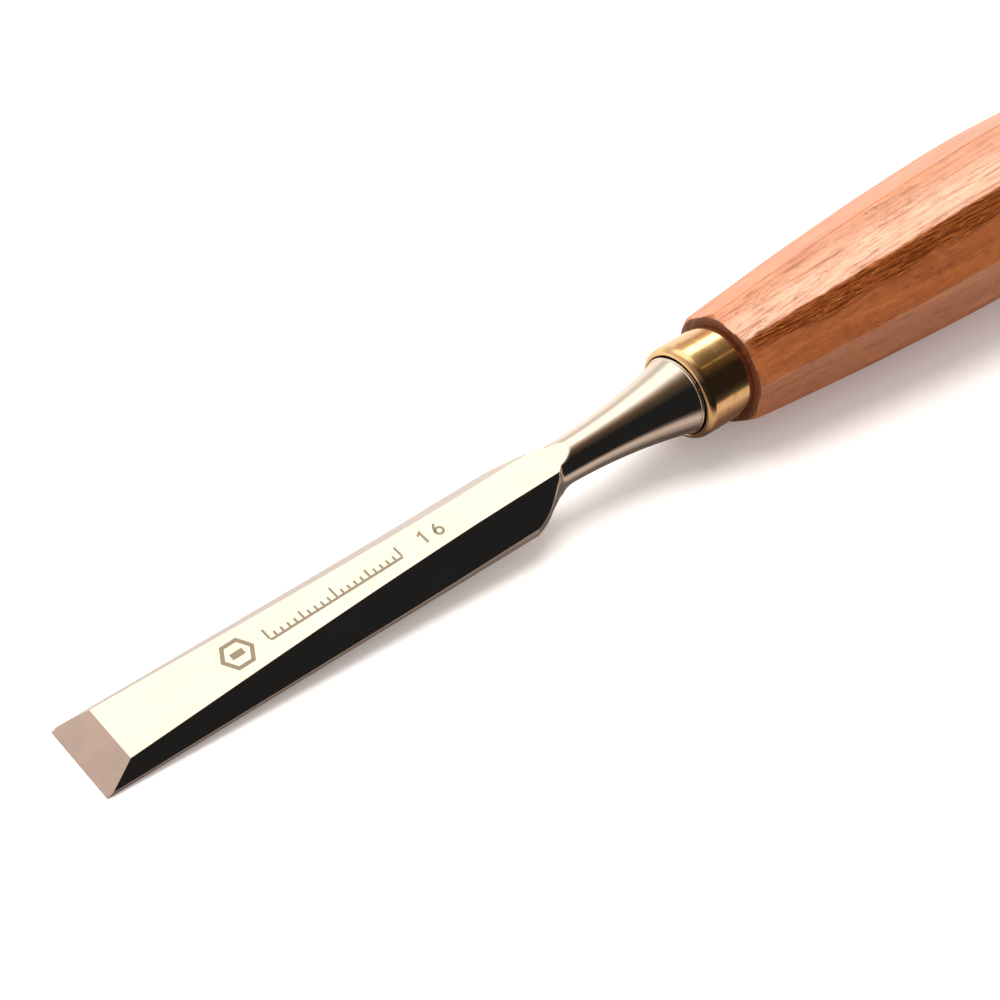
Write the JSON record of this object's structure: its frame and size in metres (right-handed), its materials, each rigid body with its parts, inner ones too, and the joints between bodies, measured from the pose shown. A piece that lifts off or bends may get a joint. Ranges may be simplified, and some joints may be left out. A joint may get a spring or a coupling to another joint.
{
  "type": "bench chisel",
  "caption": "Bevel-edge bench chisel with a polished forged blade, flaring neck and bolster, brass ferrule and bellied octagonal wooden handle.",
  "frame": {"origin": "the middle of the cutting edge, on the blade's flat back", "axes": "+X along the tool from the cutting edge to the handle's end, +Z square to the flat back and out through the blade's top face, Y across the blade"},
  "size_m": [0.278, 0.032, 0.032],
  "materials": {
    "blade_steel": "mirror polished on the top face, side bevels and neck, fine ground on the cutting bevel and back",
    "ferrule_brass": "polished, slightly tarnished",
    "handle_wood": "oiled, open grained, with crisp facets"
  },
  "bodies": {
    "root": {"blade": "blade_steel", "ferrule": "ferrule_brass", "handle": "handle_wood"}
  },
  "joints": []
}
